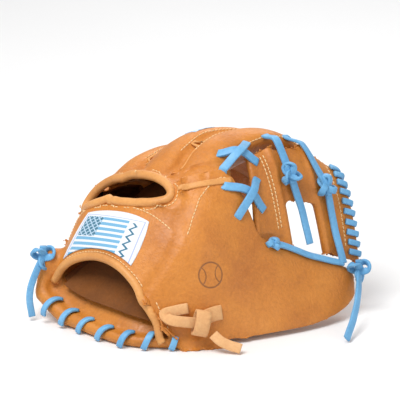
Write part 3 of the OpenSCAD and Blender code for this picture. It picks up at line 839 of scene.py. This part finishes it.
def within_loop(points, loop, half_depth):
    """Which points lie inside a closed loop, seen square to its plane and within half_depth of it."""
    flat = np.stack([(loop - mid) @ e1, (loop - mid) @ e2], 1)
    at = np.array(points) - mid
    x, y, inside = at @ e1, at @ e2, np.zeros(len(at), bool)
    for (x0, y0), (x1, y1) in zip(flat, np.roll(flat, -1, 0)):
        if y0 != y1:
            inside ^= ((y0 > y) != (y1 > y)) & (x < (x1 - x0) * (y - y0) / (y1 - y0) + x0)
    return inside & (abs(at @ e3) < half_depth)


def clear_inside(ob, loop, half_depth):
    """Takes away the faces that lie inside a closed loop."""
    bm = bmesh.new()
    bm.from_mesh(ob.data)
    inside = within_loop([f.calc_center_median() for f in bm.faces], loop, half_depth)
    bm.faces.ensure_lookup_table()
    bmesh.ops.delete(bm, geom=[bm.faces[i] for i in np.flatnonzero(inside)], context="FACES")
    bm.to_mesh(ob.data)
    bm.free()


clear_inside(shell, back_path, 17 * MM)
shell_tree = tree(shell)

# the binding sits on the leather's edge, so it is lifted to where the leather is highest beside it
lift = np.zeros(len(back_path))
for i, p in enumerate(back_path):
    d = back_path[(i + 1) % len(back_path)] - back_path[i - 1]
    away = np.cross(d, e3)
    away = away / np.linalg.norm(away) * (1 if away @ (p - mid) > 0 else -1)
    hit, _, _, _ = shell_tree.ray_cast(Vector(p + away * 2.5 * MM + e3 * 18 * MM), Vector(-e3), 30 * MM)
    if hit is not None:
        lift[i] = np.clip((np.array(hit) - p) @ e3, 0, 7 * MM)
lift = np.max([np.roll(lift, k) for k in range(-2, 3)], 0)
for _ in range(6):
    lift = (np.roll(lift, 1) + 2 * lift + np.roll(lift, -1)) / 4
back_path = back_path + lift[:, None] * e3

lo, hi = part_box("thumb_shell")
MARK_X, MARK_Z = 0.30, 0.43
spot = Vector((lo.x + MARK_X * (hi.x - lo.x), lo.y - 0.1, lo.z + MARK_Z * (hi.z - lo.z)))
mark_at, mark_normal, _, _ = shell_tree.ray_cast(spot, Vector((0, 1, 0)))
mark_u = Vector((0, 0, 1)).cross(-mark_normal).normalized() * -1
mark_v = mark_normal.cross(mark_u).normalized()
TAN = leather("tan_leather", (0.42, 0.135, 0.018), (0.54, 0.19, 0.026), (0.62, 0.235, 0.04), 0.46, 1.25, 1.7, 0.08,
              mark=(mark_at, mark_u, mark_v, 11 * MM))
done(shell, FOLD, "shell", TAN, "palm_shell", "wrist_strap", "thumb_shell", "heel_roll", "thumb_heel_roll",
     "little_stall", "ring_stall", "middle_stall", "index_stall")


def on_leather(points, lift=0.0, surface=None, reach=8 * MM):
    """Points moved onto the leather, lift above it, with the leather's normals."""
    surface = surface or shell_tree
    pts, ups = [], []
    for p in points:
        q, no, _, dist = surface.find_nearest(Vector(p))
        if dist is None or dist > reach:
            pts.append(np.array(p, float))
            ups.append(np.array(ups[-1]) if ups else np.array((0, -0.3, 1.0)))
            continue
        pts.append(np.array(q + no * lift))
        ups.append(np.array(no))
    return np.array(pts), ups


# ---------- linings and pads ----------
lining = soft("palm_padding_and_lining", ["palm_pad", "palm_lining"])
close_gaps(lining, 1.2 * MM, 1.6 * MM, 8)
done(lining, "hand", "lining", LINER, "palm_pad", "palm_lining")
done(soft("finger_linings_soft", ["finger_linings"], 1), "hand", "lining", LINER, "finger_linings")
done(soft("thumb_padding", ["thumb_pad"], 1), "thumb", "felt", LINER, "thumb_pad")
done(soft("thumb_lining_soft", ["thumb_lining"], 1), "thumb", "lining", LINER, "thumb_lining")
done(soft("strap_fleece", ["strap_lining"], 1), "hand", "fleece", FLEECE, "strap_lining")

# ---------- bindings ----------
(wrist_v, wrist_f), = parts("wrist_binding")
(edge_v, edge_f), = parts("thumb_binding")
path = list(spine(wrist_v, wrist_f, 6)) + list(spine(edge_v, edge_f, 6))
down = path[-1] - path[-3]
path.append(path[-1] + down * (path[-1][2] - 5 * MM) / max(-down[2], 1e-6) * 0.9)
path = resample(path, 2.2 * MM)
path = np.array(path)
for i, p in enumerate(path):
    q, _, _, dist = shell_tree.find_nearest(Vector(p))
    if 1.5 * MM < dist < 12 * MM:
        path[i] = p + (np.array(q) - p) * (1 - 1.5 * MM / dist)
for _ in range(5):
    path[1:-1] = (path[:-2] + 2 * path[1:-1] + path[2:]) / 4
wrist_path = path
done(merge("wrist_opening_binding", [sweep(wobble(path, 0.3 * MM, 40, 3), carry(path), round_profile(7.6 * MM, 7.4 * MM))]), FOLD, "binding", ROLLED,
     "wrist_binding", "thumb_binding")

done(merge("back_opening_binding", [sweep(wobble(back_path, 0.3 * MM, 40, 5), carry(back_path, True), round_profile(8.2 * MM, 7.6 * MM), closed=True)]), "hand", "binding", ROLLED, "back_binding")
welts = []
for v, f in parts("finger_welts"):
    pts = spine(v, f, 4)
    pts, ups = on_leather(resample(pts, 2 * MM), 0.2 * MM, reach=1)
    welts.append(sweep(pts, ups, flat_profile(2.4 * MM, 1.8 * MM)))
# the lifted raw edge of the seam between the index finger and the thumb panel
ring_right = back_path[np.argmax(back_path[:, 0])]
seam = resample([ring_right + np.array((5, -2, 5)) * MM, crotch], 2 * MM)
seam, seam_ups = on_leather(seam, 0.9 * MM, reach=1)
for _ in range(3):
    seam[1:-1] = (seam[:-2] + 2 * seam[1:-1] + seam[2:]) / 4
welts.append(sweep(wobble(seam, 0.5 * MM, 60, 2), seam_ups, flat_profile(5.5 * MM, 2.2 * MM)))
done(merge("finger_seam_welts", welts), "hand", "binding", ROLLED, "finger_welts")

# ---------- stitches ----------
def stitches(path, ups, long=2.5 * MM, gap=1.2 * MM, thick=1.1 * MM):
    """Separate stitches along a path that lies on the leather."""
    path = np.array(path)
    length = np.concatenate([[0], np.cumsum(np.linalg.norm(np.diff(path, axis=0), axis=1))])
    out = []
    at = 0.4 * MM
    while at + long < length[-1]:
        xs = np.linspace(at, at + long, 5)
        pts = np.stack([np.interp(xs, length, path[:, k]) for k in range(3)], 1)
        i = int(np.interp(at + long / 2, length, range(len(path))))
        up = ups[i]
        if np.linalg.norm(back_path - pts[2], axis=1).min() < 5.2 * MM or within_loop(pts[2:3], back_path, 30 * MM)[0]:
            at += long + gap
            continue
        lift = np.array([-0.45, 0.12, 0.25, 0.12, -0.45]) * MM
        out.append(sweep(pts + lift[:, None] * up, [up] * 5, round_profile(thick, thick, 6)))
        at += long + gap
    return out


def stitch_node(name, node, body, slot, surface=None, cuts=None):
    out = []
    for v, f in parts(node):
        pts, ups = on_leather(resample(spine(v, f, 3), 1 * MM), 0.1 * MM, surface)
        out += stitches(pts, ups)
    return out


def beside(path, ups, off):
    """A path moved sideways over the leather."""
    path = np.array(path)
    out = []
    for i in range(len(path)):
        d = path[min(i + 1, len(path) - 1)] - path[max(i - 1, 0)]
        side = np.cross(d / max(np.linalg.norm(d), 1e-9), ups[i])
        out.append(path[i] + off * side)
    return out


strap_rows = stitch_node("s", "strap_stitching", "hand", "thread")
loop_pts = np.vstack([back_path, back_path[:1]])
for off in (7 * MM, -7 * MM):
    _, ups = on_leather(loop_pts, reach=1)
    pts = beside(loop_pts, ups, off)
    far = np.linalg.norm(np.array(pts) - mid, axis=1).mean()
    if far > np.linalg.norm(loop_pts - mid, axis=1).mean():
        pts, ups = on_leather(pts, 0.1 * MM, reach=6 * MM)
        strap_rows += stitches(pts, ups)
done(merge("strap_stitches", strap_rows), "hand", "thread", THREAD, "strap_stitching")
done(merge("finger_stitches", stitch_node("s", "finger_stitching", "hand", "thread")), "hand", "thread", THREAD, "finger_stitching")
done(merge("thumb_stitches", stitch_node("s", "thumb_stitching", "thumb", "thread")), "thumb", "thread", THREAD, "thumb_stitching")

# ---------- web ----------
def web_rolls(node, radii, run_on):
    """Round rolls along a web bar's long sides, run on past the bar's low end to reach the thumb."""
    out = []
    sides = long_sides(node)
    sides.sort(key=lambda p: p[:, 0].mean())
    for pts, radius in zip(sides, radii):
        end = pts[0] + (pts[0] - pts[2]) / np.linalg.norm(pts[0] - pts[2]) * run_on
        pts = resample([end] + list(pts), 2 * MM)
        out.append(to_object("roll", *tube(pts, [radius] * len(pts))))
    return out


def run_on_sheet(node, run_on, thick=2.2 * MM):
    """The bar's own leather carried past its low end, between the two rolls."""
    a, b = sorted(long_sides(node), key=lambda p: p[:, 0].mean())
    far = [p[0] + (p[0] - p[2]) / np.linalg.norm(p[0] - p[2]) * run_on for p in (a, b)]
    up = np.cross(b[0] - a[0], a[2] - a[0])
    up /= np.linalg.norm(up)
    corners = [a[1], b[1], far[1], far[0]]
    verts = [c + up * thick for c in corners] + [c - up * thick for c in corners]
    faces = [(0, 1, 2, 3), (7, 6, 5, 4), (0, 4, 5, 1), (1, 5, 6, 2), (2, 6, 7, 3), (3, 7, 4, 0)]
    ob = to_object("run_on", verts, faces)
    bm = bmesh.new()
    bm.from_mesh(ob.data)
    bmesh.ops.recalc_face_normals(bm, faces=bm.faces[:])
    bm.to_mesh(ob.data)
    bm.free()
    return ob


web = soft("web_leather", ["web_base_bar", "web_post", "web_top_bar"], 2, 60)
join(web, *web_rolls("web_base_bar", (3.4 * MM, 4.2 * MM), 8 * MM), *web_rolls("web_top_bar", (4.2 * MM, 3 * MM), 5 * MM),
     run_on_sheet("web_base_bar", 8 * MM), run_on_sheet("web_top_bar", 5 * MM))
close_gaps(web, 2.4 * MM, 1.1 * MM, 4)
web_tree = tree(web)
done(web, "web", "shell", TAN, "web_base_bar", "web_post", "web_top_bar")
done(merge("web_stitches", stitch_node("s", "web_stitching", "web", "thread", web_tree)), "web", "thread", THREAD, "web_stitching")

# ---------- laces ----------
def bend_end(pts, last, target, share=0.4):
    """Eases one end of a path over to a target point."""
    pts = np.array(pts)
    far = np.linspace(1, 0, len(pts)) if not last else np.linspace(0, 1, len(pts))
    w = np.clip((far - 1 + share) / share, 0, 1)
    w = w * w * (3 - 2 * w)
    return pts + w[:, None] * (np.array(target) - pts[-1 if last else 0])


def fasten(pts, targets, root, reach=22 * MM):
    """Ends a lace at the knot it belongs to, or sinks its end into the leather under it."""
    pts = np.array(resample(pts, 1.6 * MM))
    for last in (False, True):
        end = pts[-1 if last else 0]
        near = [t for t in targets if np.linalg.norm(t - end) < reach]
        if near:
            pts = bend_end(pts, last, min(near, key=lambda t: np.linalg.norm(t - end)))
        elif root:
            hits = [t.find_nearest(Vector(end)) for t in (shell_tree, web_tree)]
            q, no, _, dist = min(hits, key=lambda h: h[3])
            if dist < 14 * MM:
                pts = bend_end(pts, last, q + no * 0.4 * MM)
                sunk = [np.array(q - no * 1.8 * MM), np.array(q - no * 4 * MM)]
                pts = np.vstack([pts, sunk]) if last else np.vstack([sunk[::-1], pts])
    return pts


def lace_node(name, node, body, w=6.8 * MM, h=2.7 * MM, material=None, slot="lace", step=1.6 * MM, targets=(), root=False, extra=()):
    chunks = []
    for k, (v, f) in enumerate(parts(node)):
        pts, ups = spine(v, f, 4), flat_normals(v, f)
        if root or len(targets):
            pts = fasten(pts, targets, root)
            ups = follow(ups, len(pts))
        chunks.append(lace_chunk(pts, ups, w, h, seed=k * 1.7 + len(node), step=step))
    return done(merge(name, chunks + list(extra)), body, slot, material or LACE, node)


knot_at = {n: solid(n)[0].mean(0) for n in ("heel_knot", "thumb_tip_knot", "inner_tie_knot", "outer_tie_knot")}
edge_lace_v, _ = solid("thumb_edge_lace")
edge_lace_far = edge_lace_v[edge_lace_v[:, 0] > edge_lace_v[:, 0].max() - 4 * MM].mean(0)
edge_lace_near = edge_lace_v[edge_lace_v[:, 0] < edge_lace_v[:, 0].min() + 4 * MM].mean(0)
lace_node("heel_loops", "heel_lacing", "hand", 5.6 * MM, 2.6 * MM)
lace_node("thumb_heel_loop", "thumb_heel_lacing", "thumb", 5.6 * MM, 2.6 * MM)
lace_node("finger_tip_lace", "finger_lacing", "hand")
lace_node("lower_crotch_cross", "lower_crotch_laces", "thumb", 7.4 * MM, 3 * MM, root=True)
lace_node("upper_crotch_cross", "upper_crotch_laces", WEB_FOLD, 7.4 * MM, 3 * MM, root=True)
lace_node("web_edge_loops", "web_edge_lacing", "web", 5.2 * MM, 3.0 * MM, step=1.2 * MM)
lace_node("inner_tie_lace", "inner_tie", WEB_FOLD, 7.2 * MM, targets=[knot_at["inner_tie_knot"]], root=True)
lace_node("outer_tie_lace", "outer_tie", WEB_FOLD, 7.2 * MM, targets=[knot_at["outer_tie_knot"]], root=True)
lace_node("outer_tie_free_end", "outer_tie_end", "web", targets=[knot_at["outer_tie_knot"], edge_lace_far])
lace_node("inner_tie_free_end", "inner_tie_tail", "web_lace_end", targets=[knot_at["inner_tie_knot"]])
lace_node("heel_free_end", "heel_tail", "heel_lace_end", 6.2 * MM, 2.4 * MM, targets=[knot_at["heel_knot"]])
lace_node("thumb_free_end", "thumb_tip_tail", "thumb_lace_end", targets=[knot_at["thumb_tip_knot"]])


def knot_chunks(node, along, w=6.0 * MM, h=2.6 * MM, size=1.0, seed=0):
    """A tied knot where the CAD has one closed turn: one overhand turn drawn tight, and the strand under it."""
    v, _ = solid(node)
    c = v.mean(0)
    n = np.linalg.svd(v - c, full_matrices=False)[2][2]
    r = np.linalg.norm((v - c) - np.outer((v - c) @ n, n), axis=1).mean() * size
    along = np.array(along, float)
    along -= (along @ n) * n
    along /= np.linalg.norm(along)
    side = np.cross(n, along)
    pts, ups = [], []
    for a in np.linspace(0, 2 * math.pi, 25)[:-1]:
        x = math.sin(a) + 1.35 * math.sin(2 * a)
        y = math.cos(a) - 1.35 * math.cos(2 * a)
        z = -math.sin(3 * a)
        p = (along * y * 0.42 + side * x * 0.42 + n * z * 0.38) * r
        pts.append(c + p)
        ups.append((p * 1.0 + n * 0.55 * r) / r)
    pts = resample(pts, 1.2 * MM, True)
    ups = follow(ups + ups[:1], len(pts))
    core = [c - along * r * 0.9, c + n * 0.1 * r, c + along * r * 0.9]
    return [sweep(wobble(pts, 0.25 * MM, 80, seed), ups, flat_profile(w, h), closed=True),
            lace_chunk(core, [n, n, n], w, h * 1.3, seed)]


def small_knot(at, along, across, r):
    """The short overhand turn that stops a lace at its end."""
    pts, ups = [], []
    n = np.cross(along, across)
    for a in np.linspace(0, 2 * math.pi, 25)[:-1]:
        p = (across * (math.sin(a) + 1.2 * math.sin(2 * a)) * 0.4 + along * (math.cos(a) - 1.2 * math.cos(2 * a)) * 0.34 - n * math.sin(3 * a) * 0.4) * r
        pts.append(at + p)
        ups.append(p / r + n * 0.5)
    pts = resample(pts, 1.2 * MM, True)
    return sweep(pts, follow(ups + ups[:1], len(pts)), flat_profile(5.4 * MM, 2.4 * MM), closed=True)


run = edge_lace_far - edge_lace_near
run /= np.linalg.norm(run)
lace_node("thumb_top_lace", "thumb_edge_lace", "thumb", 6.2 * MM,
          extra=[small_knot(edge_lace_near, np.cross(run, (0, -0.9, 0.4)), run, 7.5 * MM)])
done(merge("heel_lace_knot", knot_chunks("heel_knot", (0, 0, 1), size=1.5, seed=1)), "hand", "lace", LACE, "heel_knot")
done(merge("thumb_lace_knot", knot_chunks("thumb_tip_knot", (0, 0, 1), size=2.0, seed=2)), "thumb", "lace", LACE, "thumb_tip_knot")
done(merge("inner_web_knot", knot_chunks("inner_tie_knot", (0.3, -0.3, -0.9), size=1.7, seed=3)), "web", "lace", LACE, "inner_tie_knot")
done(merge("outer_web_knot", knot_chunks("outer_tie_knot", (0.3, -0.3, -0.9), size=1.7, seed=4)), "web", "lace", LACE, "outer_tie_knot")

# ---------- thumb loop strap ----------
wrap_at = solid("loop_wrap")[0].mean(0)
flap, flap_ups = on_leather([wrap_at + np.array(o) * MM for o in ((2, 0, 2), (9, 0, 5), (16, 1, 7), (23, 2, 8))], 1.6 * MM, reach=1)
lace_node("thumb_loop_band", "thumb_loop", "thumb", 9.5 * MM, 2.4 * MM, SUEDE, "binding",
          extra=[lace_chunk(flap, flap_ups, 13 * MM, 2.4 * MM, 5)])
lace_node("thumb_loop_end", "thumb_loop_tail", "loop_end", 9 * MM, 2.3 * MM, SUEDE, "binding")
done(soft("thumb_loop_wrap", ["loop_wrap"], 2, 60), "thumb", "binding", SUEDE, "loop_wrap")

# ---------- patch and tag ----------
patch = soft("striped_patch", ["strap_patch"], 3, 40)
pc = coords(patch)
patch_mid = pc.mean(0)
plane_n = np.linalg.svd(pc - patch_mid, full_matrices=False)[2][2]
flat_x = np.array((1, 0, 0)) - plane_n[0] * plane_n
flat_x /= np.linalg.norm(flat_x)
flat_y = np.cross(plane_n, flat_x)
flat_y *= np.sign(flat_y[2])
xy = np.stack([(pc - patch_mid) @ flat_x, (pc - patch_mid) @ flat_y], 1)
corner = {k: xy[np.argmax(xy @ np.array(k))] for k in ((-1, 1), (1, 1), (1, -1), (-1, -1))}
TL, TR, BR, BL = (corner[k] for k in ((-1, 1), (1, 1), (1, -1), (-1, -1)))
uv = np.full((len(xy), 2), 0.5)
for _ in range(12):
    u, v = uv[:, :1], uv[:, 1:]
    err = (1 - u) * (1 - v) * BL + u * (1 - v) * BR + u * v * TR + (1 - u) * v * TL - xy
    du = (1 - v) * (BR - BL) + v * (TR - TL)
    dv = (1 - u) * (TL - BL) + u * (TR - BR)
    det = du[:, 0] * dv[:, 1] - du[:, 1] * dv[:, 0]
    uv[:, 0] -= (err[:, 0] * dv[:, 1] - err[:, 1] * dv[:, 0]) / det
    uv[:, 1] -= (du[:, 0] * err[:, 1] - du[:, 1] * err[:, 0]) / det
layer = patch.data.uv_layers.new(name="patch")
for lp in patch.data.loops:
    layer.data[lp.index].uv = uv[lp.vertex_index]


def drape(ob, lift, thick):
    """Lays a thin sheet on the leather, keeping which of its vertices are the outer ones."""
    co = coords(ob)
    no = normals(ob)
    out = co.copy()
    for i, p in enumerate(co):
        q, n, _, _ = shell_tree.find_nearest(Vector(p))
        outer = np.array(n) @ no[i] > 0.2
        out[i] = np.array(q + n * (lift + (thick if outer else 0)))
    set_coords(ob, out)


drape(patch, 0.1 * MM, 1.0 * MM)
done(patch, "hand", "patch", PATCH, "strap_patch")
tag = soft("woven_size_tag", ["size_tag"], 3, 40)
drape(tag, 0.1 * MM, 0.6 * MM)
done(tag, "hand", "patch", TAG, "size_tag")

# ---------- floor, camera and light ----------
def plain(name, colour, rough):
    m, nt, bsdf = tree_of(name)
    n = Nodes(nt)
    nt.links.new(n.ramp(n.noise(3, 2), [(0.3, tuple(c * 0.98 for c in colour)), (0.7, colour)]), bsdf.inputs["Base Color"])
    bsdf.inputs["Roughness"].default_value = rough
    return m


floor = to_object("floor", [(-6, -6, 0), (6, -6, 0), (6, 6, 0), (-6, 6, 0)], [(0, 1, 2, 3)], False)
floor.location.z = -0.2 * MM
floor.data.materials.append(plain("pale_floor", (0.86, 0.86, 0.865), 0.6))
floor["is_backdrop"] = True

lo, hi = (Vector(v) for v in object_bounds())
centre = (lo + hi) / 2
ELEVATION, DISTANCE = math.radians(18), 3.5
cad_centre = (Vector(cad_bounds[0]) + Vector(cad_bounds[1])) / 2
aim = cad_centre + Vector((0.00385, -0.01007, 0.02365))
cam = bpy.data.objects.new("camera", bpy.data.cameras.new("camera"))
bpy.context.scene.collection.objects.link(cam)
back = Vector((0, -math.cos(ELEVATION), math.sin(ELEVATION)))
cam.location = aim + back * DISTANCE
cam.rotation_euler = (-back).to_track_quat("-Z", "Y").to_euler()
cam.data.lens = 36 * DISTANCE / 0.351
cam.data.clip_start, cam.data.clip_end = 0.1, 60
bpy.context.scene.camera = cam


def softbox(name, at, size, watts, colour=(1, 1, 1)):
    light = bpy.data.objects.new(name, bpy.data.lights.new(name, "AREA"))
    light.data.shape = "RECTANGLE"
    light.data.size, light.data.size_y = size
    light.data.energy = watts
    light.data.color = colour
    light.location = centre + Vector(at)
    light.rotation_euler = (-Vector(at)).to_track_quat("-Z", "Y").to_euler()
    bpy.context.scene.collection.objects.link(light)


softbox("key", (-0.45, -0.55, 1.2), (0.8, 0.8), 19, (1, 0.99, 0.97))
softbox("fill", (1.1, -1.0, 0.5), (1.2, 1.0), 4)
softbox("rim", (0.3, 1.1, 0.9), (1.2, 0.6), 7)
world = bpy.data.worlds.new("studio")
bpy.context.scene.world = world
world.use_nodes = True
world.node_tree.nodes["Background"].inputs["Color"].default_value = (1, 1, 1, 1)
world.node_tree.nodes["Background"].inputs["Strength"].default_value = 0.5
bpy.context.scene.view_settings.view_transform = "Standard"
